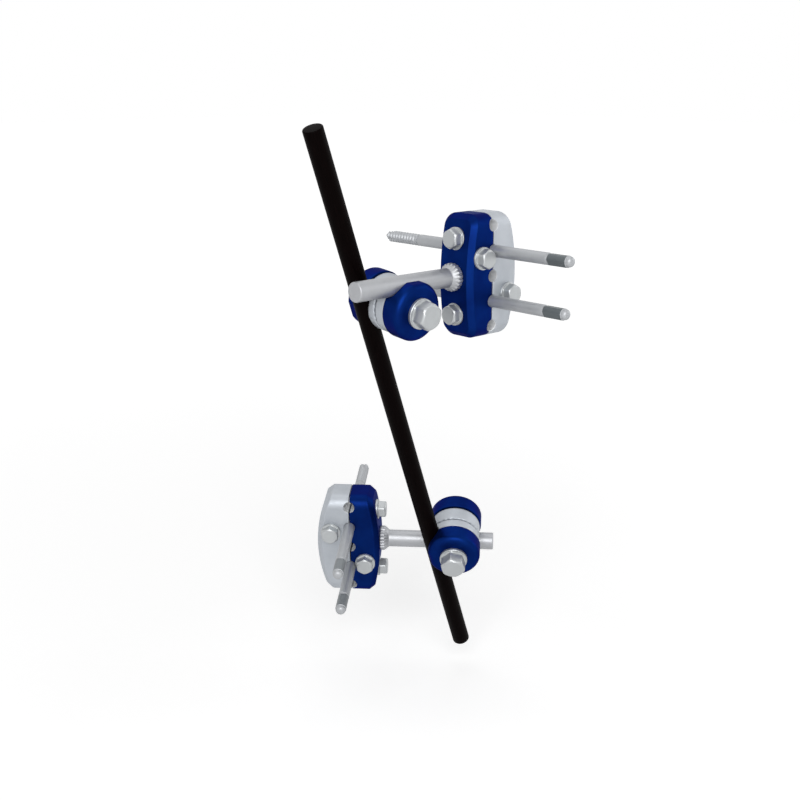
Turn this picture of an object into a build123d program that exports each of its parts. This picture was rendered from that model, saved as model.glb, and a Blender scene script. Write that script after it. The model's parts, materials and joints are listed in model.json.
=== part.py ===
"""External fixator: two pin clamps with turning posts, joined by two bar couplings and one rod.

Sizes are millimetres and +Z is up. The origin lies on the axis of the upper clamp's top pin,
where its bone thread begins, and +Y runs along that pin into the bone.
"""

import os
from math import sqrt

from build123d import *

# Bars
bar_diameter = 8.0
bar_end_chamfer = 0.6
main_rod_length = 275.0
post_reach = 53.4  # from the clamp's face to the post's free end

# Bone pins
pin_diameter = 5.0
pin_length = 105.8
thread_length = 21.0
tip_length = 3.0
runout_width = 1.0  # groove between the bone thread and the shank
runout_depth = 0.25
tip_diameter = 2.6
drive_length = 9.0
drive_flat_distance = 2.15  # from the pin's axis to each of the three flats
drive_neck_width = 0.7
drive_neck_depth = 0.3
nose_length = 2.3
nose_diameter = 4.4

# Pin clamps, measured in the clamp's own frame
seat_count = 5
seat_pitch = 10.4
seat_end_wall = 2.2
seat_clearance = 0.02
clamp_depth = 19.0
joint_gap = 0.4
outer_half_middle = 13.6
outer_half_end = 10.4
inner_half_middle = 15.6
inner_half_end = 10.6
corner_radius = 5.5
rim_chamfer = 2.2

# Clamp fasteners
clamp_bolt_diameter = 4.8
clamp_bolt_length = 20.0
side_screw_diameter = 6.0
side_screw_length = 14.0
side_screw_offset = 8.0  # from the post's axis along the clamp's length
outer_side_screw_height = 7.0  # from the joint plane
inner_side_screw_height = 8.8
small_flange_diameter = 9.2
small_flange_height = 1.3
small_hex_width = 7.4
small_head_height = 4.9

# Post socket
spigot_diameter = 10.6
socket_floor = 3.1  # from the joint plane to the socket's floor in the outer half
inner_socket_floor = 4.6
spigot_end_gap = 0.2
spigot_lip = 0.6
collar_diameter = 11.6
collar_height = 1.7
collar_cone_height = 2.2
rosette_teeth = 20
rosette_notch_radius = 0.55

# Bar couplings
bar_gap = 12.6  # between the axes of the two bars
bar_offset = 9.5  # from the bolt's axis to each bar's axis
jaw_split = 0.7  # between the two jaws of a pair
outer_jaw_radius = 11.9
inner_jaw_radius = 11.3
jaw_lip = 11.4  # from the bolt's axis to the flat beside the bar
outer_jaw_height = 9.0  # from the bar's axis to the seat of the bolt's head
outer_jaw_fillet = 2.6
inner_jaw_chamfer = 0.6
bar_seat_clearance = 0.03
turn_plane = 1.3  # height of the toothed joint over the coupling's centre
turn_gap = 0.3
serration_count = 30
serration_depth = 0.45
serration_width = 0.7
serration_margin = 1.0  # from the spring's pocket to the serrations
coupling_bolt_diameter = 6.0
large_flange_diameter = 12.4
large_flange_height = 1.6
large_hex_width = 10.0
large_head_height = 7.4
insert_diameter = 8.6
insert_length = 8.0
spring_pocket_radius = 4.6
spring_pocket_depth = 2.6
spring_wall = 0.5

# Fits
running_clearance = 0.05
face_clearance = 0.05
press_clearance = 0.02
hex_chamfer = 0.5
thread_allowance = 0.5  # a shank stops this far short of its hole's end

# How the frame is set up in the photograph
upper_top_pin_reach = 50.9  # from the clamp's centre to the pin's outer end
upper_bottom_pin_reach = 49.7
lower_top_pin_reach = 47.8
lower_bottom_pin_reach = 51.4
upper_post_turn = -6.3
upper_coupling_place = 40.1  # along the post, from the clamp's joint plane
upper_coupling_angle = 113.9
rod_above_upper_coupling = 80.3
coupling_distance = 131.2
lower_coupling_roll = 48.9
lower_coupling_angle = 79.0
lower_coupling_place = 49.3
lower_post_turn = -13.2

# Sizes that follow
bar_radius = bar_diameter / 2
pin_radius = pin_diameter / 2
clamp_length = (seat_count - 1) * seat_pitch + pin_diameter + 2 * seat_end_wall
seat_heights = [(i - (seat_count - 1) / 2) * seat_pitch for i in range(seat_count)]
pin_heights = {"top": seat_heights[-2], "bottom": seat_heights[1]}
upper_pin_reaches = {"top": upper_top_pin_reach, "bottom": upper_bottom_pin_reach}
lower_pin_reaches = {"top": lower_top_pin_reach, "bottom": lower_bottom_pin_reach}
clamp_bolt_offset = (seat_heights[-1] + seat_heights[-2]) / 2
bolt_heights = {"top": clamp_bolt_offset, "bottom": -clamp_bolt_offset}
post_end = outer_half_middle + post_reach
spigot_radius = spigot_diameter / 2
screw_neck_radius = side_screw_offset - side_screw_diameter / 2 - running_clearance
jaw_seat = bar_gap / 2 + outer_jaw_height
insert_seat = jaw_seat - insert_length
coupling_bolt_length = 2 * jaw_seat - thread_allowance
serration_length = 2 * (inner_jaw_radius - spring_pocket_radius - serration_margin)


def turned(direction, about, degrees):
    """A direction after a right-handed turn about another one"""
    return direction.rotate(Axis((0, 0, 0), about), degrees)


def arc_height(middle, end, height):
    """Thickness of a clamp half's bowed face at a height along the clamp"""
    bow = middle - end
    radius = (clamp_length**2 / 4 + bow**2) / (2 * bow)
    return middle - radius + sqrt(radius**2 - height**2)


bolt_seat = arc_height(
    outer_half_middle, outer_half_end, clamp_bolt_offset + small_flange_diameter / 2
)


def clamp_half(middle, end, floor, screw_height):
    """One half of a pin clamp: X is the way out of the joint plane, Y the pins' way out"""
    with BuildPart() as half:
        with BuildSketch(Plane.XZ):
            with BuildLine():
                foot = (joint_gap / 2, -clamp_length / 2)
                head = (joint_gap / 2, clamp_length / 2)
                low = (end, -clamp_length / 2)
                high = (end, clamp_length / 2)
                Polyline(low, foot, head, high)
                ThreePointArc(low, (middle, 0), high)
            make_face()
        extrude(amount=clamp_depth / 2, both=True)
        fillet(half.edges().filter_by(Axis.X), corner_radius)
        chamfer(half.faces().sort_by(Axis.X)[-1].edges(), rim_chamfer)
        with Locations([(0, 0, height) for height in seat_heights]):
            Cylinder(
                pin_radius + seat_clearance,
                clamp_depth * 2,
                rotation=(90, 0, 0),
                mode=Mode.SUBTRACT,
            )
        with BuildSketch(Plane.YZ.offset(floor)):
            Circle(spigot_radius + running_clearance)
        extrude(amount=middle, mode=Mode.SUBTRACT)
        with BuildSketch(Plane.XZ.offset(-clamp_depth / 2)):
            with Locations((screw_height, side_screw_offset)):
                Circle(side_screw_diameter / 2 + running_clearance)
        extrude(amount=side_screw_length + thread_allowance, mode=Mode.SUBTRACT)
    return half


clamp_outer_half = clamp_half(
    outer_half_middle, outer_half_end, socket_floor, outer_side_screw_height
)
with BuildPart() as clamp_outer:
    add(clamp_outer_half.part)
    with BuildSketch(Plane.YZ.offset(bolt_seat)):
        with Locations([(0, height) for height in bolt_heights.values()]):
            Circle(small_flange_diameter / 2 + 2 * running_clearance)
    extrude(amount=outer_half_middle, mode=Mode.SUBTRACT)
    with BuildSketch(Plane.YZ):
        with Locations([(0, height) for height in bolt_heights.values()]):
            Circle(clamp_bolt_diameter / 2 + running_clearance)
    extrude(amount=outer_half_middle, mode=Mode.SUBTRACT)

clamp_inner_half = clamp_half(
    inner_half_middle, inner_half_end, inner_socket_floor, inner_side_screw_height
)
with BuildPart() as clamp_inner:
    add(clamp_inner_half.part.rotate(Axis.Y, 180))
    with BuildSketch(Plane.YZ):
        with Locations([(0, height) for height in bolt_heights.values()]):
            Circle(clamp_bolt_diameter / 2 + running_clearance)
    extrude(
        amount=-(clamp_bolt_length - bolt_seat + thread_allowance),
        mode=Mode.SUBTRACT,
    )


def hex_bolt(shank, length, flange, flange_height, hex_width, head_height):
    """A flanged hexagon bolt: its flange seats at Z = 0 and its head is up"""
    with BuildPart() as bolt:
        Cylinder(shank / 2, length, align=(Align.CENTER, Align.CENTER, Align.MAX))
        chamfer(bolt.faces().sort_by(Axis.Z)[0].edges(), hex_chamfer)
        Cylinder(flange / 2, flange_height, align=(Align.CENTER, Align.CENTER, Align.MIN))
        chamfer(bolt.faces().sort_by(Axis.Z)[-1].edges(), flange_height / 3)
        with BuildSketch(Plane.XY.offset(flange_height)):
            RegularPolygon(hex_width / 2, 6, major_radius=False)
        extrude(amount=head_height - flange_height)
        chamfer(bolt.faces().sort_by(Axis.Z)[-1].edges(), hex_chamfer)
    return bolt


clamp_bolt = hex_bolt(
    clamp_bolt_diameter,
    clamp_bolt_length,
    small_flange_diameter,
    small_flange_height,
    small_hex_width,
    small_head_height,
)
side_screw = hex_bolt(
    side_screw_diameter,
    side_screw_length,
    small_flange_diameter,
    small_flange_height,
    small_hex_width,
    small_head_height,
)
coupling_bolt = hex_bolt(
    coupling_bolt_diameter,
    coupling_bolt_length,
    large_flange_diameter,
    large_flange_height,
    large_hex_width,
    large_head_height,
)

# Post: Z runs out along it from the clamp's joint plane
with BuildPart() as post:
    with BuildSketch(Plane.XZ):
        with BuildLine():
            spigot_foot = socket_floor + spigot_end_gap
            neck_low = spigot_foot + spigot_lip
            neck_high = outer_side_screw_height + side_screw_diameter / 2 + running_clearance
            collar_low = outer_half_middle + face_clearance
            collar_high = collar_low + collar_height
            Polyline(
                (0, spigot_foot),
                (spigot_radius, spigot_foot),
                (spigot_radius, neck_low),
                (screw_neck_radius, neck_low),
                (screw_neck_radius, neck_high),
                (spigot_radius, neck_high),
                (spigot_radius, collar_low),
                (collar_diameter / 2, collar_low),
                (collar_diameter / 2, collar_high),
                (bar_radius, collar_high + collar_cone_height),
                (bar_radius, post_end - bar_end_chamfer),
                (bar_radius - bar_end_chamfer, post_end),
                (0, post_end),
                close=True,
            )
        make_face()
    revolve(axis=Axis.Z)
    with BuildSketch(Plane.XY.offset(collar_low)):
        with PolarLocations(collar_diameter / 2 + rosette_notch_radius / 4, rosette_teeth):
            Circle(rosette_notch_radius)
    extrude(amount=collar_height + collar_cone_height, mode=Mode.SUBTRACT)

# Bone pin: Z runs out of the bone, and the thread ends at Z = 0
with BuildPart() as bone_pin:
    with BuildSketch(Plane.XZ):
        with BuildLine():
            outer_end = pin_length - thread_length
            nose_foot = outer_end - nose_length
            neck_top = nose_foot - drive_length
            neck_foot = neck_top - drive_neck_width
            Polyline(
                (0, -thread_length),
                (tip_diameter / 4, -thread_length),
                (tip_diameter / 2, tip_diameter / 4 - thread_length),
                (pin_radius, tip_length - thread_length),
                (pin_radius, 0),
                (pin_radius - runout_depth, 0),
                (pin_radius - runout_depth, runout_width),
                (pin_radius, runout_width),
                (pin_radius, neck_foot),
                (pin_radius - drive_neck_depth, neck_foot),
                (pin_radius - drive_neck_depth, neck_top),
                (pin_radius, neck_top),
                (pin_radius, nose_foot),
                (nose_diameter / 2, nose_foot),
                (nose_diameter / 2, outer_end - nose_diameter / 4),
            )
            RadiusArc(
                (nose_diameter / 2, outer_end - nose_diameter / 4),
                (nose_diameter / 4, outer_end),
                -nose_diameter / 4,
            )
            Polyline((nose_diameter / 4, outer_end), (0, outer_end), (0, -thread_length))
        make_face()
    revolve(axis=Axis.Z)
    with BuildSketch(Plane.XY.offset(neck_top)):
        with PolarLocations(drive_flat_distance + pin_radius, 3):
            Rectangle(pin_diameter, pin_diameter * 2)
    extrude(amount=drive_length, mode=Mode.SUBTRACT)

# Main rod: Z runs down it from its top end
with BuildPart() as main_rod:
    Cylinder(bar_radius, main_rod_length, align=(Align.CENTER, Align.CENTER, Align.MIN))
    chamfer(main_rod.edges().filter_by(GeomType.CIRCLE), bar_end_chamfer / 2)


def jaw_blank(radius, low, high):
    """A round jaw with a flat beside its bar and a half-round seat for it along X"""
    with BuildPart() as jaw:
        with BuildSketch(Plane.XY.offset(low)):
            Circle(radius)
            with Locations((0, -jaw_lip)):
                Rectangle(
                    2 * radius,
                    radius,
                    align=(Align.CENTER, Align.MAX),
                    mode=Mode.SUBTRACT,
                )
        extrude(amount=high - low)
    return jaw


def bar_seat():
    """The bar's way through a pair of jaws"""
    with Locations((0, -bar_offset, bar_gap / 2)):
        Cylinder(
            bar_radius + bar_seat_clearance,
            4 * outer_jaw_radius,
            rotation=(0, 90, 0),
            mode=Mode.SUBTRACT,
        )


def outer_jaw(bore_radius, bore_depth):
    """An outer jaw: Z runs out of the coupling, and the bolt's bore is wide for a depth"""
    low = bar_gap / 2 + jaw_split / 2
    blank = jaw_blank(outer_jaw_radius, low, jaw_seat)
    with BuildPart() as jaw:
        add(blank.part)
        fillet(jaw.faces().sort_by(Axis.Z)[-1].edges(), outer_jaw_fillet)
        bar_seat()
        with BuildSketch(Plane.XY.offset(low)):
            Circle(coupling_bolt_diameter / 2 + running_clearance)
        extrude(amount=outer_jaw_height, mode=Mode.SUBTRACT)
        with BuildSketch(Plane.XY.offset(jaw_seat)):
            Circle(bore_radius)
        extrude(amount=-bore_depth, mode=Mode.SUBTRACT)
    return jaw


def inner_jaw(low):
    """An inner jaw: Z runs out of the coupling, and its toothed face is at a given height"""
    blank = jaw_blank(inner_jaw_radius, low, bar_gap / 2 - jaw_split / 2)
    with BuildPart() as jaw:
        add(blank.part)
        chamfer(jaw.faces().sort_by(Axis.Z)[0].edges(), inner_jaw_chamfer)
        bar_seat()
        with BuildSketch(Plane.XY.offset(low)):
            Circle(coupling_bolt_diameter / 2 + running_clearance)
        extrude(amount=bar_gap, mode=Mode.SUBTRACT)
        with BuildSketch(Plane.XY.offset(low)):
            Circle(spring_pocket_radius)
        extrude(amount=spring_pocket_depth, mode=Mode.SUBTRACT)
        with BuildSketch(Plane.XY.offset(low)):
            with PolarLocations(inner_jaw_radius, serration_count):
                Rectangle(serration_length, serration_width)
        extrude(amount=serration_depth, mode=Mode.SUBTRACT)
    return jaw


front_outer_jaw = outer_jaw(coupling_bolt_diameter / 2 + running_clearance, outer_jaw_height / 2)
rear_outer_jaw = outer_jaw(insert_diameter / 2 + press_clearance, insert_length)
front_inner_jaw = inner_jaw(turn_plane + turn_gap / 2)
rear_inner_jaw = inner_jaw(turn_gap / 2 - turn_plane)

# Threaded insert of the rear outer jaw
with BuildPart() as coupling_insert:
    with BuildSketch(Plane.XY.offset(insert_seat + press_clearance)):
        Circle(insert_diameter / 2)
        Circle(coupling_bolt_diameter / 2 + running_clearance, mode=Mode.SUBTRACT)
    extrude(amount=insert_length - press_clearance)

# Cone springs that push the two pairs of jaws apart, seated in the rear inner jaw's pocket
with BuildPart() as coupling_spring:
    with BuildSketch(Plane.XZ):
        with BuildLine():
            spring_foot = turn_plane - turn_gap / 2 - spring_pocket_depth + press_clearance
            spring_top = turn_plane + turn_gap / 2 + spring_pocket_depth - face_clearance
            spring_middle = (spring_foot + spring_top) / 2
            inside = coupling_bolt_diameter / 2 + 2 * running_clearance
            outside = spring_pocket_radius - 2 * running_clearance
            Polyline(
                (inside, spring_foot),
                (inside + spring_wall, spring_foot),
                (outside, spring_middle),
                (inside + spring_wall, spring_top),
                (inside, spring_top),
                (outside - spring_wall, spring_middle),
                close=True,
            )
        make_face()
    revolve(axis=Axis.Z)


def place(origin, x_dir, z_dir):
    """Where a piece modelled about the origin belongs"""
    return Plane(origin=origin, x_dir=x_dir, z_dir=z_dir).location


# Where the upper clamp and its post lie
upper_centre = Vector(0, upper_pin_reaches["top"] - (pin_length - thread_length), 0)
upper_centre = upper_centre - Vector(0, 0, pin_heights["top"])
upper_out = Vector(-1, 0, 0)
upper_pins_out = Vector(0, -1, 0)
upper_length = Vector(0, 0, 1)

# The upper coupling: the post is in its front pair of jaws and the rod in its rear pair
upper_bolt = turned(upper_pins_out, upper_out, upper_post_turn)
upper_centre_line = upper_centre + upper_out * upper_coupling_place
upper_coupling = (
    upper_centre_line
    + upper_bolt.cross(upper_out) * bar_offset
    - upper_bolt * (bar_gap / 2)
)
rod_down = turned(upper_out, upper_bolt, upper_coupling_angle)
rod_at_upper = (
    upper_coupling
    - upper_bolt * (bar_gap / 2)
    - upper_bolt.cross(rod_down) * bar_offset
)
rod_top = rod_at_upper - rod_down * rod_above_upper_coupling

# The lower coupling: the rod is in its front pair of jaws and the post in its rear pair
lower_bolt = turned(upper_bolt, rod_down, lower_coupling_roll)
rod_at_lower = rod_at_upper + rod_down * coupling_distance
lower_coupling = (
    rod_at_lower
    + lower_bolt.cross(rod_down) * bar_offset
    - lower_bolt * (bar_gap / 2)
)
lower_out = turned(rod_down, lower_bolt, lower_coupling_angle)
lower_foot = (
    lower_coupling
    - lower_bolt * (bar_gap / 2)
    - lower_bolt.cross(lower_out) * bar_offset
)
lower_centre = lower_foot - lower_out * lower_coupling_place
lower_pins_out = turned(lower_bolt, lower_out, lower_post_turn)
lower_length = lower_out.cross(lower_pins_out)

pieces = [("main_rod", main_rod, place(rod_top, upper_bolt, rod_down))]

clamps = [
    ("upper", upper_centre, upper_out, upper_pins_out, upper_length, upper_pin_reaches),
    ("lower", lower_centre, lower_out, lower_pins_out, lower_length, lower_pin_reaches),
]
for side, centre, out, pins_out, length, reaches in clamps:
    frame = place(centre, out, length)
    pieces.append((f"{side}_clamp_outer_half", clamp_outer, frame))
    pieces.append((f"{side}_clamp_inner_half", clamp_inner, frame))
    pieces.append((f"{side}_post", post, place(centre, pins_out, out)))
    for end, height in bolt_heights.items():
        seat = centre + out * bolt_seat + length * height
        pieces.append((f"{side}_clamp_bolt_{end}", clamp_bolt, place(seat, pins_out, out)))
    screws = {"outer": outer_side_screw_height, "inner": -inner_side_screw_height}
    for half, height in screws.items():
        across = side_screw_offset if half == "outer" else -side_screw_offset
        seat = centre + out * height + length * across + pins_out * (clamp_depth / 2)
        pieces.append((f"{side}_side_screw_{half}", side_screw, place(seat, out, pins_out)))
    for end, height in pin_heights.items():
        thread_end = reaches[end] - (pin_length - thread_length)
        start = centre + length * height + pins_out * thread_end
        pieces.append((f"{side}_pin_{end}", bone_pin, place(start, out, pins_out)))

couplings = [
    ("upper", upper_coupling, upper_bolt, upper_out, rod_down),
    ("lower", lower_coupling, lower_bolt, rod_down, lower_out),
]
for side, centre, bolt, front_bar, rear_bar in couplings:
    front = place(centre, front_bar, bolt)
    rear = place(centre, -rear_bar, -bolt)
    head = place(centre + bolt * jaw_seat, front_bar, bolt)
    pieces.append((f"{side}_coupling_front_outer_jaw", front_outer_jaw, front))
    pieces.append((f"{side}_coupling_front_inner_jaw", front_inner_jaw, front))
    pieces.append((f"{side}_coupling_rear_inner_jaw", rear_inner_jaw, rear))
    pieces.append((f"{side}_coupling_rear_outer_jaw", rear_outer_jaw, rear))
    pieces.append((f"{side}_coupling_insert", coupling_insert, rear))
    pieces.append((f"{side}_coupling_spring", coupling_spring, front))
    pieces.append((f"{side}_coupling_bolt", coupling_bolt, head))

os.makedirs("parts", exist_ok=True)
for name, piece, location in pieces:
    placed = piece.part.moved(location)
    placed.label = name
    export_step(placed, f"parts/{name}.step")
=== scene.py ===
"""External fixator, dressed: every piece is a surface worked out from a formula.

Lengths in this script are millimetres until a surface is put into its mesh.
"""

import json
import math

import bmesh
import bpy
import numpy as np
from mathutils import Matrix, Vector

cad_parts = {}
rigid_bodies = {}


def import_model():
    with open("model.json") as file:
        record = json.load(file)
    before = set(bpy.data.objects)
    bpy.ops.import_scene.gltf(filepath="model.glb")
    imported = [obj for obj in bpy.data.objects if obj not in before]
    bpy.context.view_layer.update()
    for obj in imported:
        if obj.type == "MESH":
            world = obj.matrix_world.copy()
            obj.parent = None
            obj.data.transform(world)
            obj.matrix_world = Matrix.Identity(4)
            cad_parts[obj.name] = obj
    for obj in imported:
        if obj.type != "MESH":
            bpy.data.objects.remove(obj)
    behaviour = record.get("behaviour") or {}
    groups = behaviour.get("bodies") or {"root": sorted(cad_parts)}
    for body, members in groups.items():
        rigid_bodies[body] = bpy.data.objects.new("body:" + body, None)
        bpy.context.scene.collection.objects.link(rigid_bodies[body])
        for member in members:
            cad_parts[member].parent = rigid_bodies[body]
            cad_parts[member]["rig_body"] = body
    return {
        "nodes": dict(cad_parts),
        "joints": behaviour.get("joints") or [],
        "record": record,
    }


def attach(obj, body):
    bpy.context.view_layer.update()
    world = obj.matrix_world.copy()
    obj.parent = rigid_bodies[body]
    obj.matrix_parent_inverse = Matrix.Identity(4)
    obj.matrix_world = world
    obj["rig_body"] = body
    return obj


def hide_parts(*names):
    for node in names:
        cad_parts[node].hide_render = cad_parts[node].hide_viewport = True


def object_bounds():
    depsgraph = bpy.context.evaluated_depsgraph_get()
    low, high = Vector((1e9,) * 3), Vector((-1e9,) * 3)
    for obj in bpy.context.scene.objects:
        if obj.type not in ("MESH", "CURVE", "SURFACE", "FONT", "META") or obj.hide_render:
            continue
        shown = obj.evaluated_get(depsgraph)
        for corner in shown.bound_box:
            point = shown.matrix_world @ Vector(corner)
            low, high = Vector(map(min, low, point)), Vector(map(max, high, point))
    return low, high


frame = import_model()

cad_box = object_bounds()

METRE = 0.001  # metres in a millimetre
PI, TURN = math.pi, 2 * math.pi
MERGE_DISTANCE = 2e-6  # metres, closes seams and poles
SHARP_ANGLE = math.radians(38)

# Camera, as the photograph was taken: place in millimetres, directions as unit vectors
CAMERA_PLACE = (-361.25, -373.74, 70.59)
CAMERA_RIGHT = (0.7306, -0.6828, 0.0032)
CAMERA_DOWN = (-0.1783, -0.1953, -0.9644)
CAMERA_LENS = 54.0
SENSOR_WIDTH = 36.0

# Sizes of the forms that the frame doesn't state
SEAT_COUNT = 5
SEAT_PITCH = 10.4
SEAT_RADIUS = 2.52
JOINT_GAP = 0.4
CLAMP_CORNER = 5.5
CLAMP_RIM = 2.2
BLUE_END = 10.4
SILVER_END = 10.6
BAR_OFFSET = 9.5
BAR_HEIGHT = 6.3
BAR_SEAT_RADIUS = 4.03
JAW_LIP = 11.4
JAW_SPLIT = 0.35
OUTER_JAW_RIM = 2.6
INNER_JAW_RIM = 0.6
TEETH = 30
TOOTH_HEIGHT = 0.3
TEETH_INNER_RADIUS = 5.6
EDGE = 0.3  # small rounding on machined edges
BAR_RADIUS = 4.0
SPIGOT_RADIUS = 5.3
SPIGOT_GROOVE_RADIUS = 4.95
SPIGOT_FOOT = 0.6  # from the spigot's end to its ring groove
GROOVE_TOP = 10.05  # from the clamp's middle, as the collar
COLLAR_FOOT = 13.65
COLLAR_HEIGHT = 1.9
COLLAR_AND_CONE = 4.1
SCALLOP_DEPTH = 0.55
PIN_NOSE_LENGTH = 2.3
PIN_NOSE_RADIUS = 2.2
DRIVE_LENGTH = 9.0
DRIVE_NECK_LENGTH = 0.7
DRIVE_NECK_DEPTH = 0.3
DRIVE_FLAT_DISTANCE = 2.15
RUNOUT_WIDTH, RUNOUT_DEPTH = 1.0, 0.25
BONE_THREAD_PITCH, BONE_THREAD_DEPTH = 1.75, 0.62
SPRING_BORE_RADIUS, SPRING_WALL = 3.1, 0.5

# Holes, by radius
CLAMP_BOLT_BORE = 2.45
HEAD_BORE = 4.7
SCREW_BORE = 3.05
INSERT_BORE = 4.32
POST_SOCKET = 5.35
OUTER_SOCKET_FLOOR, INNER_SOCKET_FLOOR = 3.1, 4.6  # from the joint face
SCREW_BORE_END = -5.0
CLAMP_BOLT_BORE_END = -9.0
PAST_JOINT = 3.0  # how far a cutter passes the joint face
PAST_ALL = 30.0  # beyond a clamp's every face
PAST_JAW = 40.0

# Bolts and screws: radii of shank and flange, heights of flange and of the whole head, width over
# the flats, and pitch
CLAMP_BOLT = {"shank": 2.4, "flange": 4.6, "flange_height": 1.3, "height": 4.9, "width": 7.4,
              "pitch": 0.8}
SIDE_SCREW = {**CLAMP_BOLT, "shank": 3.0, "pitch": 1.0}
COUPLING_BOLT = {"shank": 3.0, "flange": 6.2, "flange_height": 1.6, "height": 7.4, "width": 10.0,
                 "pitch": 1.0}
COUPLING_SPIN = {"upper": 50.0, "lower": 33.0}  # how far the heads are turned, in degrees
SCREW_THREAD_DEPTH = 0.45
ACROSS_CORNERS = 1.155  # a hexagon's width over its corners, for one over its flats
SEAT_GAP = 0.01  # between a flange and the face it sits on, so that the two never cross

# The room
FLOOR_DROP = 0.012  # metres from the frame's lowest point down to the floor
FLOOR_REACH = 6.0  # metres from the origin to the floor's edge
ROOM_LIGHT = 0.22
LAMPS = (  # name, place from the frame's middle in metres, size in metres, watts
    ("key", (-0.70, -0.72, 0.50), 0.8, 8.0),
    ("fill", (0.95, -0.45, 0.35), 0.8, 2.0),
    ("top", (0.1, 0.3, 1.15), 1.1, 2.4),
)


# Places and measures taken from the frame


def unit(vector):
    """The vector at length one"""
    vector = np.asarray(vector, float)
    return vector / np.linalg.norm(vector)


joints = {joint["name"]: joint for joint in frame["joints"]}
mounts = {mount["name"]: mount for mount in frame["record"]["mounts"]}


def joint_axis(name):
    """A joint's direction"""
    return unit(joints[name]["axis"])


def joint_point(name):
    """A point on a hinge's axis, in millimetres"""
    return np.array(joints[name]["pos_m"]) / METRE


class Place:
    """A piece's own origin and directions, with Y worked out from X and Z"""

    def __init__(self, origin, x, z):
        self.origin = np.asarray(origin, float)
        self.z = unit(z)
        x = np.asarray(x, float)
        self.x = unit(x - self.z * (x @ self.z))
        self.y = np.cross(self.z, self.x)

    def world(self, points):
        """Points of the piece, (..., 3) in millimetres, as points of the frame"""
        return self.origin + points @ np.stack([self.x, self.y, self.z])

    def spun(self, degrees):
        """The same place turned about its own Z"""
        a = math.radians(degrees)
        return Place(self.origin, self.x * math.cos(a) + self.y * math.sin(a), self.z)

    def raised(self, height):
        """The same place moved along its own Z"""
        return Place(self.origin + self.z * height, self.x, self.z)


def node_points(node):
    """The vertices of a node, in millimetres"""
    mesh = frame["nodes"][node].data
    flat = np.empty(len(mesh.vertices) * 3, np.float32)
    mesh.vertices.foreach_get("co", flat)
    return flat.reshape(-1, 3).astype(float) / METRE


def span(node, place):
    """Lowest and highest height of a node along a place's Z, and its greatest radius about it"""
    away = node_points(node) - place.origin
    height = away @ place.z
    radius = np.linalg.norm(away - np.outer(height, place.z), axis=1)
    return height.min(), height.max(), radius.max()


# Meshes from grids of points


def surface(name, patches, place):
    """One mesh from several grids of points, each (rows, columns, 3), with a UV for every point.

    Grids share their edges and are merged there, so that a closed shape comes out closed.
    """
    corners, faces, uvs, first = [], [], [], 0
    for points, across, along in patches:
        rows, columns = points.shape[:2]
        corners.append(place.world(points).reshape(-1, 3) * METRE)
        uvs.append(np.stack(np.broadcast_arrays(across, along), -1).reshape(-1, 2))
        index = np.arange(rows * columns).reshape(rows, columns) + first
        ring = [index[:-1, :-1], index[:-1, 1:], index[1:, 1:], index[1:, :-1]]
        faces.append(np.stack(ring, -1).reshape(-1, 4))
        first += rows * columns
    corners, faces, uvs = np.concatenate(corners), np.concatenate(faces), np.concatenate(uvs)
    mesh = bpy.data.meshes.new(name)
    mesh.vertices.add(len(corners))
    mesh.vertices.foreach_set("co", corners.ravel())
    mesh.loops.add(faces.size)
    mesh.loops.foreach_set("vertex_index", faces.ravel().astype(np.int32))
    mesh.polygons.add(len(faces))
    mesh.polygons.foreach_set("loop_start", np.arange(0, faces.size, 4, dtype=np.int32))
    mesh.update(calc_edges=True)
    layer = mesh.uv_layers.new(name="surface")
    layer.data.foreach_set("uv", uvs[faces.ravel()].ravel())
    piece = bpy.data.objects.new(name, mesh)
    bpy.context.scene.collection.objects.link(piece)
    close(piece)
    return piece


def close(piece):
    """Merges the seams, turns the faces outwards and keeps only true edges sharp"""
    work = bmesh.new()
    work.from_mesh(piece.data)
    bmesh.ops.remove_doubles(work, verts=work.verts, dist=MERGE_DISTANCE)
    bmesh.ops.recalc_face_normals(work, faces=work.faces)
    work.to_mesh(piece.data)
    work.free()
    piece.data.polygons.foreach_set("use_smooth", np.ones(len(piece.data.polygons), bool))
    piece.data.set_sharp_from_angle(angle=SHARP_ANGLE)


def cut(piece, cutters):
    """Takes the cutters' shapes out of the piece, and the cutters out of the scene"""
    for cutter in cutters:
        tool = piece.modifiers.new("cut", "BOOLEAN")
        tool.operation = "DIFFERENCE"
        tool.solver = "EXACT"
        tool.object = cutter
    graph = bpy.context.evaluated_depsgraph_get()
    finished = bpy.data.meshes.new_from_object(piece.evaluated_get(graph))
    piece.modifiers.clear()
    piece.data = finished
    for cutter in cutters:
        bpy.data.objects.remove(cutter)
    finished.polygons.foreach_set("use_smooth", np.ones(len(finished.polygons), bool))
    finished.set_sharp_from_angle(angle=SHARP_ANGLE)
    return piece


# Outlines


def rounded(points, radii, steps=5):
    """A path of straight runs with an arc of the given radius at each inner corner.

    Each arc is tangent to both its runs, and its points are spread evenly over the turn.
    """
    points = [np.array(p, float) for p in points]
    path = [points[0]]
    for before, corner, after, radius in zip(points, points[1:], points[2:], radii):
        into, out = unit(before - corner), unit(after - corner)
        half = math.acos(np.clip(into @ out, -1, 1)) / 2
        if radius <= 0:
            path.append(corner)
            continue
        centre = corner + unit(into + out) * radius / math.sin(half)
        foot = corner + into * radius / math.tan(half)
        swing = PI - 2 * half
        sign = np.sign(into[0] * out[1] - into[1] * out[0])
        for turn in np.linspace(0, swing, steps + 1) * -sign:
            arm = foot - centre
            c, s = math.cos(turn), math.sin(turn)
            path.append(centre + np.array([c * arm[0] - s * arm[1], s * arm[0] + c * arm[1]]))
    path.append(points[-1])
    return np.array(path)


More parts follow.
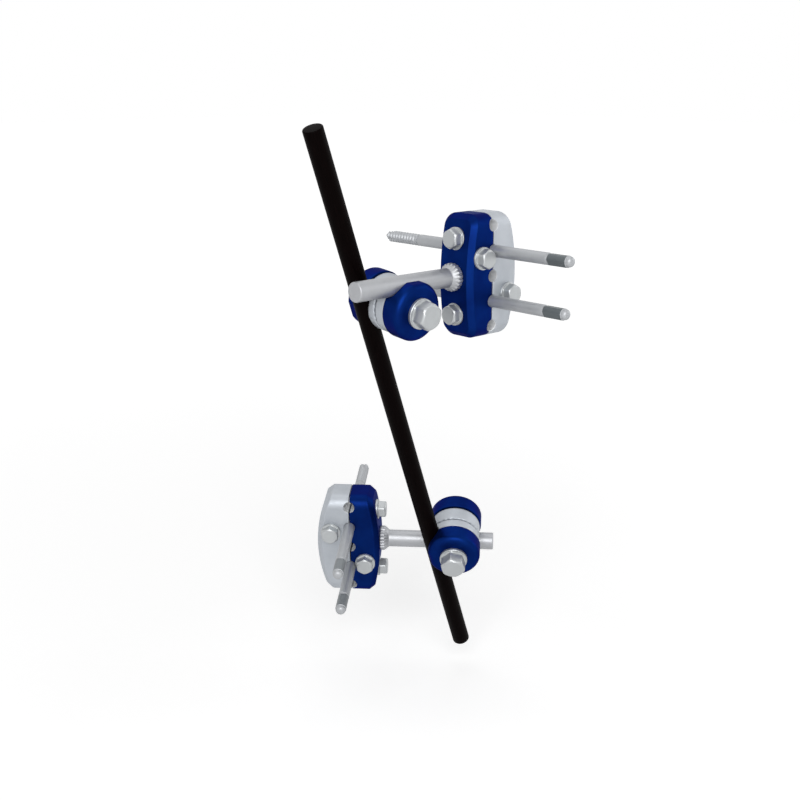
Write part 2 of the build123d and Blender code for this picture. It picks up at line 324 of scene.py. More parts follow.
def dense(path, longest):
    """The path with points added so that no step is longer than the given length"""
    out = [path[:1]]
    for start, end in zip(path[:-1], path[1:]):
        count = max(1, int(math.ceil(np.linalg.norm(end - start) / longest)))
        out.append(start + (end - start) * np.linspace(0, 1, count + 1)[1:, None])
    return np.concatenate(out)


def walked(points):
    """How far along a path each of its points lies"""
    return np.concatenate([[0], np.cumsum(np.linalg.norm(np.diff(points, axis=0), axis=1))])


def lathe(name, profile, place, around=72, shape=None):
    """A profile of (height, radius) turned about Z; shape changes the radius by angle, height"""
    angle = np.linspace(0, TURN, around + 1)
    height, radius = profile[:, :1], profile[:, 1:]
    reach = np.broadcast_to(radius, (len(profile), around + 1)).copy()
    if shape:
        reach = shape(angle[None, :], height, reach)
    points = np.stack(
        [reach * np.cos(angle), reach * np.sin(angle), np.broadcast_to(height, reach.shape)], -1
    )
    length = walked(profile)
    return surface(name, [(points, angle[None, :] * radius.max(), length[:, None])], place)


def smooth_least(a, b, blend):
    """The smaller of two values, rounded over where they are within the blend of each other"""
    mix = np.clip(0.5 + 0.5 * (b - a) / blend, 0, 1)
    return b + (a - b) * mix - blend * mix * (1 - mix)


def hexagon(angle, width, sharpness=20):
    """Radius of a hexagon with soft corners: a power mean of its three pairs of flats"""
    total = sum(np.abs(np.cos(angle - k * PI / 3)) ** sharpness for k in range(3))
    return width / 2 / total ** (1 / sharpness)


def screw_thread(angle, height, pitch, depth, low, high):
    """How deep a screw thread's groove is: a rounded wave along a helix, fading at both ends"""
    phase = (height / pitch - angle / TURN) % 1
    groove = np.abs(2 * phase - 1)
    fade = np.clip((height - low) / pitch, 0, 1) * np.clip((high - height) / pitch, 0, 1)
    return depth * np.clip(1.35 * groove - 0.2, 0, 1) * fade


# Bodies between two faces: clamp halves and jaws


def slab(name, under, plan, crown, rim, place, relief=None):
    """A body with a ruled lower face and a crowned upper face.

    under is a path of (v, h): the lower face's height h against v, the same all along u.
    plan(v) gives the outline's half width along u and its outward direction (v, u) there.
    crown(v) is the upper face's height, and rim is a path of (inset, drop) from the side
    wall to the upper face. Loops of points run round the outline and close over the middle.
    relief(points, first) gives heights to add to the loops from the first on.
    """
    spacing, across, centre_rings = 0.28, 10, 14
    halfwidth, _, _ = plan(under[:, 0])
    walk = walked(np.column_stack([under, halfwidth]))
    steps = np.linspace(0, walk[-1], int(walk[-1] / spacing))
    v0, h0 = (np.interp(steps, walk, under[:, i]) for i in range(2))
    count = len(v0)
    fine = np.linspace(v0[0], v0[-1], 4001)
    edge_walk = np.concatenate([[0], np.cumsum(np.hypot(np.diff(fine), np.diff(plan(fine)[0])))])
    v_top = np.interp(np.linspace(0, edge_walk[-1], count), edge_walk, fine)
    slope_v, slope_h = np.gradient(v0), np.gradient(h0)
    norm = np.hypot(slope_v, slope_h) + 1e-12
    lift_v, lift_h = -slope_h / norm, slope_v / norm

    share = np.linspace(1, -1, across + 1)
    index = np.concatenate([
        np.arange(count), np.full(across - 1, count - 1), np.arange(count)[::-1],
        np.full(across - 1, 0), [0],
    ])
    fraction = np.concatenate([
        np.ones(count), share[1:-1], -np.ones(count), -share[1:-1], [1],
    ])
    end = np.concatenate([
        np.zeros(count), np.ones(across - 1), np.zeros(count), -np.ones(across - 1), [0],
    ])

    def ring(v, h, inset):
        """A loop of the outline at heights h, set in by a distance"""
        width, out_v, out_u = plan(v)
        shift = np.where(end == 0, out_v, end)
        across_u = fraction * np.maximum(width - inset * out_u, 0)
        return np.stack([across_u, v - inset * shift, h], -1)

    # The rounded lower edge, the wall, the rim, and the loops that close over the middle
    rings = []
    for turn in np.linspace(0, PI / 2, 4):
        rise = EDGE * (1 - math.cos(turn))
        v, h = v0[index] + rise * lift_v[index], h0[index] + rise * lift_h[index]
        rings.append(ring(v, h, EDGE * (1 - math.sin(turn))))
    foot_v, foot_h, top_v = v, h, v_top[index]
    top_h = crown(top_v) - rim[0][1]
    for t in np.linspace(0, 1, 6)[1:]:
        rings.append(ring(foot_v * (1 - t) + top_v * t, foot_h * (1 - t) + top_h * t, 0))
    wall_top = len(rings) - 1
    for inset, drop in rim[1:]:
        loop = ring(top_v, 0 * top_v, inset)
        loop[:, 2] = crown(loop[:, 1]) - drop
        rings.append(loop)
    last = rings[-1]
    # Where the outline narrows to nothing at its first end, the loops close over its middle
    narrow_end = plan(v0[:1])[1][0] < -0.99
    middle = np.array([0, (v0[0] + v0[-1]) / 2 if narrow_end else 0, 0])
    for t in np.linspace(0, 1, centre_rings + 1)[1:]:
        loop = last * (1 - t) + middle * t
        loop[:, 2] = crown(loop[:, 1]) - rim[-1][1]
        rings.append(loop)
    side = np.array(rings)
    if relief:
        side[:, :, 2] += relief(side, wall_top + 2)
    around = walked(side[wall_top])
    up = np.arange(len(rings))[:, None] * 1.0

    floor = side[0][:count]
    opposite = floor.copy()
    opposite[:, 0] *= -1
    rows = floor[:, None] + (opposite - floor)[:, None] * ((1 - share) / 2)[None, :, None]
    return surface(name, [
        (side, around[None, :], up),
        (rows, rows[:, :, 0], rows[:, :, 1]),
    ], place)


# Finishes


def finish(name, colour, metallic, roughness):
    """A new material with its surface shader, and a function that adds nodes to it"""
    material = bpy.data.materials.new(name)
    material.use_nodes = True
    tree = material.node_tree
    shader = tree.nodes["Principled BSDF"]
    shader.inputs["Base Color"].default_value = (*colour, 1)
    shader.inputs["Metallic"].default_value = metallic
    shader.inputs["Roughness"].default_value = roughness

    def node(kind, inputs=None, **settings):
        made = tree.nodes.new("ShaderNode" + kind)
        for key, value in settings.items():
            setattr(made, key, value)
        for key, value in (inputs or {}).items():
            if isinstance(value, bpy.types.NodeSocket):
                tree.links.new(value, made.inputs[key])
            else:
                made.inputs[key].default_value = value
        return made

    return material, shader, node, tree


def spread(node, value, low, high, to_low, to_high):
    """Maps a value from one range to another"""
    scaled = node("MapRange", {0: value, 1: low, 2: high, 3: to_low, 4: to_high})
    return scaled.outputs[0]


def mixed(node, share, first, second):
    """Mixes two colours by a share from zero to one"""
    mix = node("Mix", {0: share}, data_type="RGBA")
    mix.inputs[6].default_value = (*first, 1)
    mix.inputs[7].default_value = (*second, 1)
    return mix.outputs[2]


def anodised(name, colour, deep, roughness, metallic, gloss, grain, edge=(1.0, 1.0, 1.0)):
    """Bead-blasted and anodised aluminium: fine grain, faint clouds in the dye and handling marks.

    edge tints the shine at a slant, so that a dyed face keeps its colour.
    """
    material, shader, node, tree = finish(name, colour, metallic, roughness)
    shader.inputs["Specular IOR Level"].default_value = gloss
    shader.inputs["Specular Tint"].default_value = (*edge, 1)
    place = node("TexCoord").outputs["Object"]
    clouds = node("TexNoise", {"Vector": place, "Scale": 90.0, "Detail": 4.0})
    dye = mixed(node, spread(node, clouds.outputs[0], 0.35, 0.65, 0.0, 1.0), deep, colour)
    tree.links.new(dye, shader.inputs["Base Color"])
    blast = node("TexNoise", {"Vector": place, "Scale": 5200.0, "Detail": 3.0})
    marks = node("TexNoise", {"Vector": place, "Scale": 420.0, "Detail": 6.0, "Roughness": 0.7})
    rub = spread(node, marks.outputs[0], 0.3, 0.75, roughness - 0.05, roughness + 0.1)
    tree.links.new(rub, shader.inputs["Roughness"])
    bump = node("Bump", {"Height": blast.outputs[0], "Strength": grain, "Distance": 0.00004})
    tree.links.new(bump.outputs[0], shader.inputs["Normal"])
    return material


def turned_steel(name, colour, roughness, metallic, pitch, depth):
    """Stainless steel from the lathe: fine rings along the piece, with cloudy wear between them"""
    material, shader, node, tree = finish(name, colour, metallic, roughness)
    flat = node("UVMap", uv_map="surface").outputs[0]
    squeeze = node("Mapping", {"Vector": flat, "Scale": (0.12, 1 / pitch, 1.0)})
    rings = node("TexNoise", {"Vector": squeeze.outputs[0], "Scale": 1.0, "Detail": 4.0})
    place = node("TexCoord").outputs["Object"]
    wear = node("TexNoise", {"Vector": place, "Scale": 260.0, "Detail": 5.0})
    both = node("Math", {0: rings.outputs[0], 1: wear.outputs[0]}, operation="MULTIPLY")
    rub = spread(node, both.outputs[0], 0.12, 0.42, roughness - 0.06, roughness + 0.1)
    tree.links.new(rub, shader.inputs["Roughness"])
    dull = [c * 0.88 for c in colour]
    tint = mixed(node, spread(node, both.outputs[0], 0.1, 0.45, 0.0, 1.0), dull, colour)
    tree.links.new(tint, shader.inputs["Base Color"])
    bump = node("Bump", {"Height": rings.outputs[0], "Strength": 0.3, "Distance": depth * METRE})
    tree.links.new(bump.outputs[0], shader.inputs["Normal"])
    return material


def carbon_rod(name):
    """Black carbon fibre: lengthwise fibres in resin, with the faint ridges of wrapping tape"""
    dark, light = (0.0008, 0.0003, 0.0003), (0.0040, 0.0018, 0.0018)
    material, shader, node, tree = finish(name, dark, 0.0, 0.5)
    shader.inputs["Specular IOR Level"].default_value = 0.02
    flat = node("UVMap", uv_map="surface").outputs[0]
    stretch = node("Mapping", {"Vector": flat, "Scale": (7.0, 0.16, 1.0)})
    fibres = node("TexNoise", {"Vector": stretch.outputs[0], "Scale": 1.0, "Detail": 6.0})
    tint = mixed(node, spread(node, fibres.outputs[0], 0.35, 0.7, 0.0, 1.0), dark, light)
    tree.links.new(tint, shader.inputs["Base Color"])
    slant = node("Mapping", {"Vector": flat, "Rotation": (0, 0, 0.06)})
    tape = node("TexWave", {"Vector": slant.outputs[0], "Scale": 0.16, "Distortion": 0.6},
                bands_direction="Y")
    height = node("Math", {0: tape.outputs["Fac"], 1: fibres.outputs[0]}, operation="ADD")
    bump = node("Bump", {"Height": height.outputs[0], "Strength": 0.25, "Distance": 0.00004})
    tree.links.new(bump.outputs[0], shader.inputs["Normal"])
    rub = spread(node, fibres.outputs[0], 0.3, 0.7, 0.4, 0.56)
    tree.links.new(rub, shader.inputs["Roughness"])
    return material


blue = anodised("blue anodising", colour=(0.0025, 0.019, 0.135), deep=(0.002, 0.012, 0.095),
                roughness=0.38, metallic=0.75, gloss=0.04, grain=0.12, edge=(0.10, 0.20, 0.50))
silver = anodised("clear anodising", colour=(0.51, 0.54, 0.58), deep=(0.45, 0.48, 0.52),
                  roughness=0.46, metallic=0.5, gloss=0.3, grain=0.15)
bare = anodised("bored aluminium", colour=(0.85, 0.86, 0.87), deep=(0.76, 0.77, 0.78),
                roughness=0.42, metallic=0.4, gloss=0.5, grain=0.05)
steel = turned_steel("turned steel", colour=(0.45, 0.46, 0.48),
                     roughness=0.42, metallic=0.65, pitch=0.09, depth=0.008)
pin_steel = turned_steel("pin steel", colour=(0.47, 0.485, 0.505),
                         roughness=0.46, metallic=0.5, pitch=0.05, depth=0.008)
drive_steel = turned_steel("drive steel", colour=(0.135, 0.155, 0.165),
                           roughness=0.46, metallic=0.5, pitch=0.16, depth=0.02)
# The lower pins' drive flats: a copy of the drive finish with painted light, made lighter to stand
# in for the brighter light on the lower clamp
drive_steel_painted_lighter = turned_steel("drive steel painted lighter", colour=(0.25, 0.27, 0.285),
                                roughness=0.46, metallic=0.5, pitch=0.16, depth=0.02)
bolt_steel = turned_steel("bolt steel", colour=(0.50, 0.52, 0.53),
                          roughness=0.36, metallic=0.65, pitch=0.05, depth=0.012)
black = carbon_rod("carbon fibre")
# Upper pins take the dark drive finish; lower pins take its copy painted lighter, as painted light
DRIVE_FINISH = {"upper": drive_steel, "lower": drive_steel_painted_lighter}


def dress(piece, node, material, patch=None, where=None):
    """Gives a piece its finish, stands it for its node and lets it ride on the node's body.

    patch is a second finish, for the faces whose centres, in millimetres, are where it says.
    """
    mesh = piece.data
    mesh.materials.clear()
    mesh.materials.append(material)
    if patch:
        mesh.materials.append(patch)
        centres = np.empty(len(mesh.polygons) * 3, np.float32)
        mesh.polygons.foreach_get("center", centres)
        chosen = where(centres.reshape(-1, 3).astype(float) / METRE)
        mesh.polygons.foreach_set("material_index", chosen.astype(np.int32))
    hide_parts(node)
    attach(piece, frame["nodes"][node]["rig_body"])
    return piece


# The rod, the posts and the pins


def make_rod():
    """The long straight bar, with small rounds at its ends"""
    top = mounts["main_rod_top_end"]
    place = Place(np.array(top["pos_m"]) / METRE, (0, 1, 0), top["axis"])
    low, high, radius = span("main_rod", place)
    path = rounded([(low, 0), (low, radius), (high, radius), (high, 0)], [0.5, 0.5])
    piece = lathe("rod", dense(path, 4.0), place, 96)
    dress(piece, "main_rod", black)


def make_post(side, place):
    """A post: spigot with its ring groove, scalloped collar, cone and bar"""
    low, high, widest = span(f"{side}_post", place)
    bar, spigot, groove, collar = BAR_RADIUS, SPIGOT_RADIUS, SPIGOT_GROOVE_RADIUS, COLLAR_FOOT
    groove_low = low + SPIGOT_FOOT
    path = rounded([
        (low, 0), (low, spigot), (groove_low, spigot), (groove_low, groove),
        (GROOVE_TOP, groove), (GROOVE_TOP, spigot), (collar, spigot), (collar, widest),
        (collar + COLLAR_HEIGHT, widest), (collar + COLLAR_AND_CONE, bar), (high, bar), (high, 0),
    ], [0.3, 0.15, 0.1, 0.1, 0.15, 0.1, 0.25, 0.5, 0.8, 0.6])

    def scallops(angle, height, reach):
        """Round notches in the collar's rim, fading out up the cone"""
        wave = np.abs(np.cos(angle * 10)) ** 6
        above = height - collar
        on = np.clip((above + 0.1) / 0.1, 0, 1) * np.clip((3.4 - above) / 1.5, 0, 1)
        share = np.clip((reach - bar) / (widest - bar), 0, 1)
        return reach - SCALLOP_DEPTH * wave * on * share

    piece = lathe(f"{side}_post_bar", dense(path, 0.6), place, 200, scallops)
    dress(piece, f"{side}_post", steel)


def make_pin(side, end):
    """A bone pin: cutting tip, bone thread, ground shank, three-sided drive and round nose"""
    node = f"{side}_pin_{end}"
    mount = mounts[f"{side}_pin_thread_{end}"]
    place = Place(np.array(mount["pos_m"]) / METRE, (0, 0, 1), -np.array(mount["axis"]))
    low, high, radius = span(node, place)
    thread = -mount["dims"]["length_mm"]
    drive_top = high - PIN_NOSE_LENGTH
    drive_foot = drive_top - DRIVE_LENGTH
    neck_foot = drive_foot - DRIVE_NECK_LENGTH
    nose, neck, runout = PIN_NOSE_RADIUS, radius - DRIVE_NECK_DEPTH, radius - RUNOUT_DEPTH
    path = rounded([
        (low, 0), (low, 0.35), (thread, radius), (0, radius), (0, runout),
        (RUNOUT_WIDTH, runout), (RUNOUT_WIDTH, radius), (neck_foot, radius), (neck_foot, neck),
        (drive_foot, neck), (drive_foot, radius), (drive_top, radius), (drive_top + 0.15, nose),
        (high, nose), (high, 0),
    ], [0.3, 0.5, 0, 0.1, 0.1, 0.1, 0.1, 0.1, 0.1, 0.1, 0.1, 0.05, 1.6])
    bone = path[:, 0] < 0.01
    near = dense(path[bone], 0.13)
    far = dense(path[~bone], 1.2)

    def form(angle, height, reach):
        """The bone thread, three flutes at the tip, and three flats at the drive"""
        groove = screw_thread(angle, height, BONE_THREAD_PITCH, BONE_THREAD_DEPTH, low + 1.0, 0.9)
        reach = reach - np.minimum(groove * np.clip(reach / radius, 0, 1), reach * 0.5)
        flute = np.clip(np.cos(angle * 3), 0, 1) ** 3
        flute = np.clip((thread + 3.2 - height) / 3.0, 0, 1) * flute
        reach = reach * (1 - 0.42 * flute * (height < 0))
        facing = np.cos((angle + PI / 3) % (TURN / 3) - PI / 3)
        flat = DRIVE_FLAT_DISTANCE / np.maximum(facing, 0.2)
        on = (height > drive_foot - 0.02) & (height < drive_top + 0.02)
        return np.where(on, smooth_least(reach, flat, 0.05), reach)

    def driven(points):
        """Whether points lie on the flats that the driver holds"""
        height = (points - place.origin) @ place.z
        return (height > drive_foot) & (height < drive_top)

    piece = lathe(f"{side}_bone_pin_{end}", np.concatenate([near, far]), place, 72, form)
    dress(piece, node, pin_steel, DRIVE_FINISH[side], driven)


# Bolts and screws


def make_bolt(node, name, axis_place, kind, spin=0.0):
    """A flanged hexagon bolt: threaded shank, round flange and a softly domed hexagon head.

    Returns the height of its seat along the place's Z.
    """
    _, head_top, _ = span(node, axis_place)
    seat = head_top - kind["height"]
    place = axis_place.raised(seat)
    low, high, _ = span(node, place)
    shank, flange, flange_top = kind["shank"], kind["flange"], kind["flange_height"]
    corner = kind["width"] / 2 * ACROSS_CORNERS
    edge = flange_top / 3
    path = rounded([
        (low, 0), (low, shank - 0.5), (low + 0.5, shank), (0, shank), (0, flange),
        (flange_top - edge, flange), (flange_top, flange - edge),
        (flange_top, corner), (high, corner), (high, 0),
    ], [0.1, 0.1, 0.1, 0.12, 0.2, 0.2, 0, 0.0])
    shaft = dense(path[path[:, 0] < -0.01], 0.22)
    collar = path[path[:, 0] >= -0.01][:-2]
    sides = np.column_stack([np.linspace(flange_top, high, 16)[1:], np.full(15, corner)])
    roof = np.column_stack([np.full(7, high), np.linspace(corner, 0, 8)[1:]])
    profile = np.concatenate([shaft, collar[collar[:, 0] <= flange_top + 1e-9], sides, roof])

    def form(angle, height, reach):
        """The thread below the flange, and the hexagon above it under a cone"""
        groove = screw_thread(angle, height, kind["pitch"], SCREW_THREAD_DEPTH, low + 0.2, -1.0)
        reach = reach - np.minimum(groove, reach * 0.4)
        cone = kind["width"] / 2 * 0.9 + (high - height) * 1.3
        head = smooth_least(hexagon(angle, kind["width"]), cone, 0.25)
        inner = (reach < flange - 1) & (height > flange_top - 0.01)
        return np.where((height > flange_top + 0.01) | inner, reach * head / corner, reach)

    piece = lathe(name, profile, place.spun(spin).raised(SEAT_GAP), 96, form)
    dress(piece, node, bolt_steel)
    return seat


# Clamps


def clamp_plan(half_length, half_depth):
    """The outline of a clamp: a rectangle with round corners"""
    def plan(v):
        turn = np.clip(np.abs(v) - (half_length - CLAMP_CORNER), 0, CLAMP_CORNER)
        rise = np.sqrt(np.maximum(CLAMP_CORNER**2 - turn**2, 0))
        width = half_depth - CLAMP_CORNER + rise
        return width, np.sign(v) * turn / CLAMP_CORNER, rise / CLAMP_CORNER
    return plan


def seat_path(half_length):
    """The joint face's outline: flat runs, and for each pin a half-round seat with round lips"""
    face, lip = JOINT_GAP / 2, 0.35
    reach = math.sqrt(SEAT_RADIUS**2 - face**2)
    first = math.asin(face / SEAT_RADIUS)
    turn = np.linspace(PI - first, first, 41)
    t = np.linspace(0, 1, 6)[:, None]
    path = [np.array([[-half_length, face]])]
    for seat in (np.arange(SEAT_COUNT) - SEAT_COUNT // 2) * SEAT_PITCH:
        arc = np.column_stack([seat + SEAT_RADIUS * np.cos(turn), SEAT_RADIUS * np.sin(turn)])
        arc = arc[arc[:, 1] > lip + face]
        lips = []
        for sign, stop in ((-1, arc[0]), (1, arc[-1])):
            corner = np.array([seat + sign * reach, face])
            start = np.array([corner[0] + sign * lip, face])
            lips.append((1 - t) ** 2 * start + 2 * t * (1 - t) * corner + t**2 * stop)
        path += [lips[0], arc[1:-1], lips[1][::-1]]
    path.append(np.array([[half_length, face]]))
    return dense(np.concatenate(path), 0.25)


def make_clamp_half(node, name, place, end_height, material, cutters):
    """A clamp half: five pin seats along its joint face, a bowed back and a chamfered rim"""
    _, middle, _ = span(node, place)
    away = node_points(node) - place.origin
    half_length, half_depth = np.abs(away @ place.y).max(), np.abs(away @ place.x).max()
    bow = middle - end_height
    radius = (half_length**2 + bow**2) / (2 * bow)

    def crown(v):
        """The bowed back: an arc along the clamp's length"""
        return middle - radius + np.sqrt(np.maximum(radius**2 - v**2, 0))

    rim = rounded([(0, CLAMP_RIM + 0.8), (0, CLAMP_RIM), (CLAMP_RIM, 0), (CLAMP_RIM + 0.8, 0)],
                  [0.6, 0.6], 4)
    outline = clamp_plan(half_length, half_depth)
    piece = slab(name, seat_path(half_length), outline, crown, rim, place)
    cut(piece, cutters)

    def seated(points):
        """Whether points lie on the wall of a pin's seat"""
        away = points - place.origin
        along, height = away @ place.y, away @ place.z
        last = SEAT_COUNT // 2
        nearest = along - np.clip(np.round(along / SEAT_PITCH), -last, last) * SEAT_PITCH
        return (np.hypot(nearest, height) < SEAT_RADIUS + 0.03) & (height > JOINT_GAP / 2 + 0.05)

    dress(piece, node, material, bare, seated)


def bore(place, low, high, radius):
    """A round cutter between two heights"""
    profile = np.array([(low, 0), (low, radius), (high, radius), (high, 0)])
    return lathe("cutter", profile, place, 64)


def make_clamp(side, place, seat):
    """Both halves of a clamp with their holes, from the clamp's place: Z is the way out.

    seat is the height at which the clamp bolts' flanges sit.
    """
    screws = {}
    for which in ("outer", "inner"):
        name = f"{side}_side_screw_{which}_turn"
        screws[which] = Place(joint_point(name), place.z, joint_axis(name))
    holes = []
    for end in ("top", "bottom"):
        name = f"{side}_clamp_bolt_{end}_turn"
        holes.append(Place(joint_point(name), place.x, joint_axis(name)))
    cuts = [bore(hole, seat, PAST_ALL, HEAD_BORE) for hole in holes]
    cuts += [bore(hole, -PAST_JOINT, seat + 1, CLAMP_BOLT_BORE) for hole in holes]
    cuts.append(bore(place, OUTER_SOCKET_FLOOR, PAST_ALL, POST_SOCKET))
    cuts.append(bore(screws["outer"], SCREW_BORE_END, PAST_ALL, SCREW_BORE))
    make_clamp_half(f"{side}_clamp_outer_half", f"{side}_blue_half", place, BLUE_END,
                    blue, cuts)
    back = Place(place.origin, -place.x, -place.z)
    cuts = [bore(hole, CLAMP_BOLT_BORE_END, PAST_JOINT, CLAMP_BOLT_BORE) for hole in holes]
    cuts.append(bore(back, INNER_SOCKET_FLOOR, PAST_ALL, POST_SOCKET))
    cuts.append(bore(screws["inner"], SCREW_BORE_END, PAST_ALL, SCREW_BORE))
    make_clamp_half(f"{side}_clamp_inner_half", f"{side}_silver_half", back, SILVER_END,
                    silver, cuts)


# Couplings


def jaw_plan(radius):
    """The outline of a jaw: a circle"""
    def plan(v):
        width = np.sqrt(np.maximum(radius**2 - v**2, 0))
        return width, np.clip(v / radius, -1, 1), width / radius
    return plan


def jaw_path(radius):
    """The face beside the bar, against the height above it: half-round seat, then flat"""
    across = np.linspace(-JAW_LIP, -BAR_OFFSET + BAR_SEAT_RADIUS, 90)
    rise = np.sqrt(np.maximum(BAR_SEAT_RADIUS**2 - (across + BAR_OFFSET) ** 2, 0))
    seat = np.column_stack([across, np.maximum(rise, JAW_SPLIT)])
    flat = np.array([[radius * 0.9999, JAW_SPLIT]])  # just inside, where the outline has a width
    return dense(np.concatenate([seat, flat]), 0.25)


def make_outer_jaw(node, name, place, bore_radius):
    """A blue outer jaw: bar seat below, large round rim above"""
    _, top, radius = span(node, place)
    above = top - BAR_HEIGHT

    def crown(v):
        """A flat seat for the bolt's head"""
        return np.full_like(v, above)

    rim = rounded([(0, OUTER_JAW_RIM + 1), (0, 0), (OUTER_JAW_RIM + 1, 0)], [OUTER_JAW_RIM], 10)
    piece = slab(name, jaw_path(radius), jaw_plan(radius), crown, rim, place.raised(BAR_HEIGHT))
    cut(piece, [bore(place, 0, PAST_JAW, bore_radius)])
    dress(piece, node, blue)


def make_inner_jaw(node, name, place):
    """A silver inner jaw: bar seat above, toothed face below"""
    low, _, radius = span(node, place)
    below = BAR_HEIGHT - low

    def crown(v):
        """The toothed face before its teeth"""
        return np.full_like(v, below)

    def teeth(points, first):
        """Radial teeth near the rim: a triangle wave round the face, fading inwards"""
        away = np.hypot(points[:, :, 0], points[:, :, 1])
        angle = np.arctan2(points[:, :, 1], points[:, :, 0])
        wave = np.abs((angle / TURN * TEETH) % 1 - 0.5) * 2
        depth = TOOTH_HEIGHT * wave * np.clip((away - TEETH_INNER_RADIUS) / 0.8, 0, 1)
        depth[:first] = 0
        return -depth

    rim = rounded([(0, INNER_JAW_RIM + 0.5), (0, 0), (INNER_JAW_RIM + 0.5, 0)], [INNER_JAW_RIM], 4)
    flipped = Place(place.origin + place.z * BAR_HEIGHT, -place.x, -place.z)
    piece = slab(name, jaw_path(radius), jaw_plan(radius), crown, rim, flipped, teeth)
    cut(piece, [bore(place, 0, PAST_JAW, SCREW_BORE)])
    dress(piece, node, silver)


def make_coupling(side, front_bar, rear_bar):
    """A bar coupling: two pairs of jaws, bolt, insert and cone springs"""
    bolt_name = f"{side}_coupling_bolt_turn"
    centre, axis = joint_point(bolt_name), joint_axis(bolt_name)
    front, rear = Place(centre, front_bar, axis), Place(centre, -rear_bar, -axis)
    ends = (("front", front, SCREW_BORE), ("rear", rear, INSERT_BORE))
    for end, place, bore_radius in ends:
        make_outer_jaw(f"{side}_coupling_{end}_outer_jaw", f"{side}_{end}_outer_jaw", place,
                       bore_radius)
    for end, place, _ in ends:
        make_inner_jaw(f"{side}_coupling_{end}_inner_jaw", f"{side}_{end}_inner_jaw", place)
    make_insert(f"{side}_coupling_insert", f"{side}_insert", rear)
    make_spring(f"{side}_coupling_spring", f"{side}_cone_springs", front)
    make_bolt(f"{side}_coupling_bolt", f"{side}_bolt", front, COUPLING_BOLT, COUPLING_SPIN[side])


def make_insert(node, name, place):
    """A threaded bush pressed into the rear jaw"""
    low, high, radius = span(node, place)
    inner = SCREW_BORE
    path = rounded([(low, inner), (low, radius), (high, radius), (high, inner), (low, inner)],
                   [0.2, 0.4, 0.4])
    piece = lathe(name, dense(path, 0.5), place, 72)
    dress(piece, node, bolt_steel)


def make_spring(node, name, place):
    """Two cone springs edge to edge, as one turned ring"""
    low, high, radius = span(node, place)
    middle, inner, wall = (low + high) / 2, SPRING_BORE_RADIUS, SPRING_WALL
    path = rounded([
        (low, inner), (low, inner + wall), (middle, radius), (high, inner + wall), (high, inner),
        (middle, radius - wall), (low, inner),
    ], [0.1, 0.2, 0.1, 0.1, 0.2])
    piece = lathe(name, path, place, 72)
    dress(piece, node, steel)


# Every piece in its place


clamps = {
    "upper": ("upper_post_turn", "upper_clamp_slide_on_pins"),
    "lower": ("lower_clamp_turn_on_post", "lower_pins_slide"),
}
make_rod()
for side, (turn, slide) in clamps.items():
    out, pins_out = joint_axis(turn), joint_axis(slide)
    clamp_place = Place(joint_point(turn), pins_out, out)
    make_post(side, clamp_place)
    for end in ("top", "bottom"):
        make_pin(side, end)
        name = f"{side}_clamp_bolt_{end}"
        bolt_place = Place(joint_point(name + "_turn"), pins_out, out)
        bolt_seat = make_bolt(name, name + "_hex", bolt_place, CLAMP_BOLT)
    for which in ("outer", "inner"):
        name = f"{side}_side_screw_{which}"
        screw_place = Place(joint_point(name + "_turn"), out, pins_out)
        make_bolt(name, name + "_hex", screw_place, SIDE_SCREW)
    make_clamp(side, clamp_place, bolt_seat)

rod_down = joint_axis("main_rod_slide")
make_coupling("upper", joint_axis("upper_coupling_slide_on_post"), rod_down)
make_coupling("lower", rod_down, joint_axis("lower_post_slide"))


# Floor, lights and camera


def seen(tree):
    """Whether a ray shows the white background: one for the camera's, mirrored and clear rays"""
    ray = tree.nodes.new("ShaderNodeLightPath")
    total = ray.outputs["Is Camera Ray"]
    for kind in ("Is Glossy Ray", "Is Transmission Ray"):
        larger = tree.nodes.new("ShaderNodeMath")
        larger.operation = "MAXIMUM"
        tree.links.new(total, larger.inputs[0])
        tree.links.new(ray.outputs[kind], larger.inputs[1])
        total = larger.outputs[0]
    return total


def make_floor():
    """A wide pale floor just under the frame, white to the camera and in reflections"""
    low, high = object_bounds()
    middle = (low + high) / 2
    height = low.z - FLOOR_DROP
    mesh = bpy.data.meshes.new("floor")
    edge = FLOOR_REACH
    mesh.from_pydata([(-edge, -edge, height), (edge, -edge, height), (edge, edge, height),
                      (-edge, edge, height)], [], [(0, 1, 2, 3)])
    floor = bpy.data.objects.new("floor", mesh)
    bpy.context.scene.collection.objects.link(floor)
    material, shader, node, tree = finish("pale floor", (0.86, 0.86, 0.86), 0.0, 1.0)
    shader.inputs["Specular IOR Level"].default_value = 0.0
    # The floor's own white grows outwards, where the lamps fade, so that no horizon shows
    centred = node("Mapping", {"Vector": node("TexCoord").outputs["Object"],
                               "Location": (-middle.x, -middle.y, -height)})
    away = node("VectorMath", {0: centred.outputs[0]}, operation="LENGTH").outputs["Value"]
    own = spread(node, away, 0.15, 1.3, 0.47, 0.83)
    white = node("Emission", {"Color": (1, 1, 1, 1), "Strength": own})
    shown = node("AddShader", {0: shader.outputs[0], 1: white.outputs[0]})
    either = node("MixShader", {0: seen(tree), 1: shader.outputs[0], 2: shown.outputs[0]})
    tree.links.new(either.outputs[0], tree.nodes["Material Output"].inputs[0])
    mesh.materials.append(material)


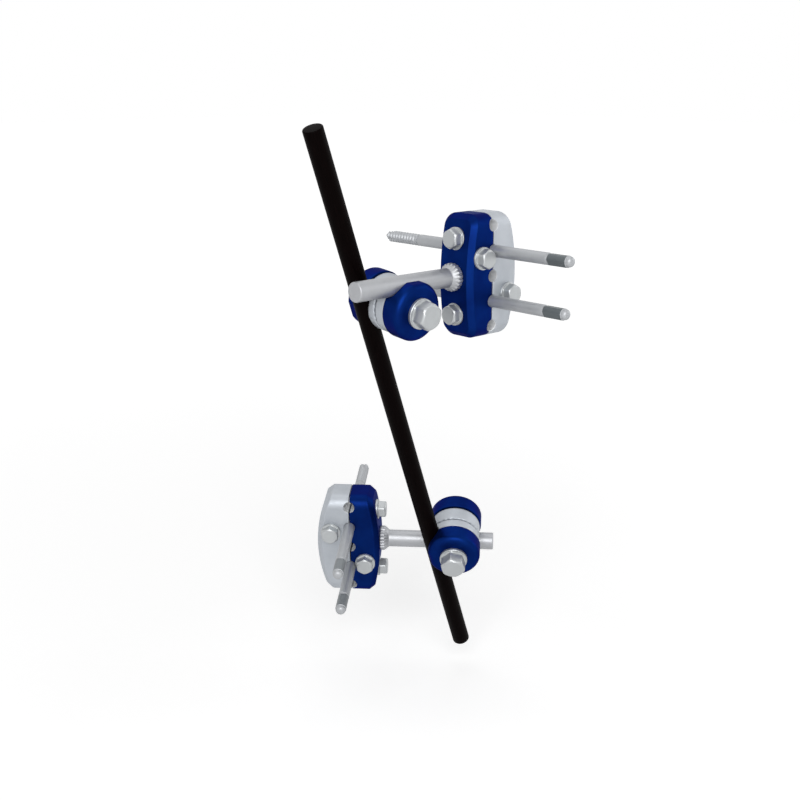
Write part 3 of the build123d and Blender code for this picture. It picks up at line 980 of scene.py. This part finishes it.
def make_light(name, place, aim, size, power):
    """A soft square lamp that faces a point"""
    lamp = bpy.data.lights.new(name, "AREA")
    lamp.shape = "SQUARE"
    lamp.size = size
    lamp.energy = power
    light = bpy.data.objects.new(name, lamp)
    bpy.context.scene.collection.objects.link(light)
    light.location = place
    light.rotation_mode = "QUATERNION"
    light.rotation_quaternion = (Vector(aim) - Vector(place)).to_track_quat("-Z", "Y")


def make_world():
    """A soft grey room, white where the camera or a mirror finish looks past the floor"""
    world = bpy.data.worlds.new("studio")
    bpy.context.scene.world = world
    world.use_nodes = True
    tree = world.node_tree
    tree.nodes.clear()
    out = tree.nodes.new("ShaderNodeOutputWorld")
    room = tree.nodes.new("ShaderNodeBackground")
    room.inputs["Color"].default_value = (1, 1, 1, 1)
    room.inputs["Strength"].default_value = ROOM_LIGHT
    white = tree.nodes.new("ShaderNodeBackground")
    white.inputs["Color"].default_value = (1, 1, 1, 1)
    white.inputs["Strength"].default_value = 1.0
    mix = tree.nodes.new("ShaderNodeMixShader")
    tree.links.new(seen(tree), mix.inputs[0])
    tree.links.new(room.outputs[0], mix.inputs[1])
    tree.links.new(white.outputs[0], mix.inputs[2])
    tree.links.new(mix.outputs[0], out.inputs[0])


def make_camera():
    """The photograph's camera"""
    data = bpy.data.cameras.new("camera")
    data.lens = CAMERA_LENS
    data.sensor_width = SENSOR_WIDTH
    camera = bpy.data.objects.new("camera", data)
    bpy.context.scene.collection.objects.link(camera)
    right = Vector(unit(CAMERA_RIGHT))
    up = Vector(unit(-np.array(CAMERA_DOWN)))
    back = right.cross(up).normalized()
    up = back.cross(right).normalized()
    turn = Matrix((right, up, back)).transposed()
    camera.rotation_mode = "QUATERNION"
    camera.rotation_quaternion = turn.to_quaternion()
    camera.location = Vector(CAMERA_PLACE) * METRE
    bpy.context.scene.camera = camera


make_floor()
make_world()
middle = (Vector(cad_box[0]) + Vector(cad_box[1])) / 2
for name, away, size, power in LAMPS:
    make_light(name, middle + Vector(away), middle, size, power)
make_camera()
bpy.context.scene.view_settings.view_transform = "Standard"
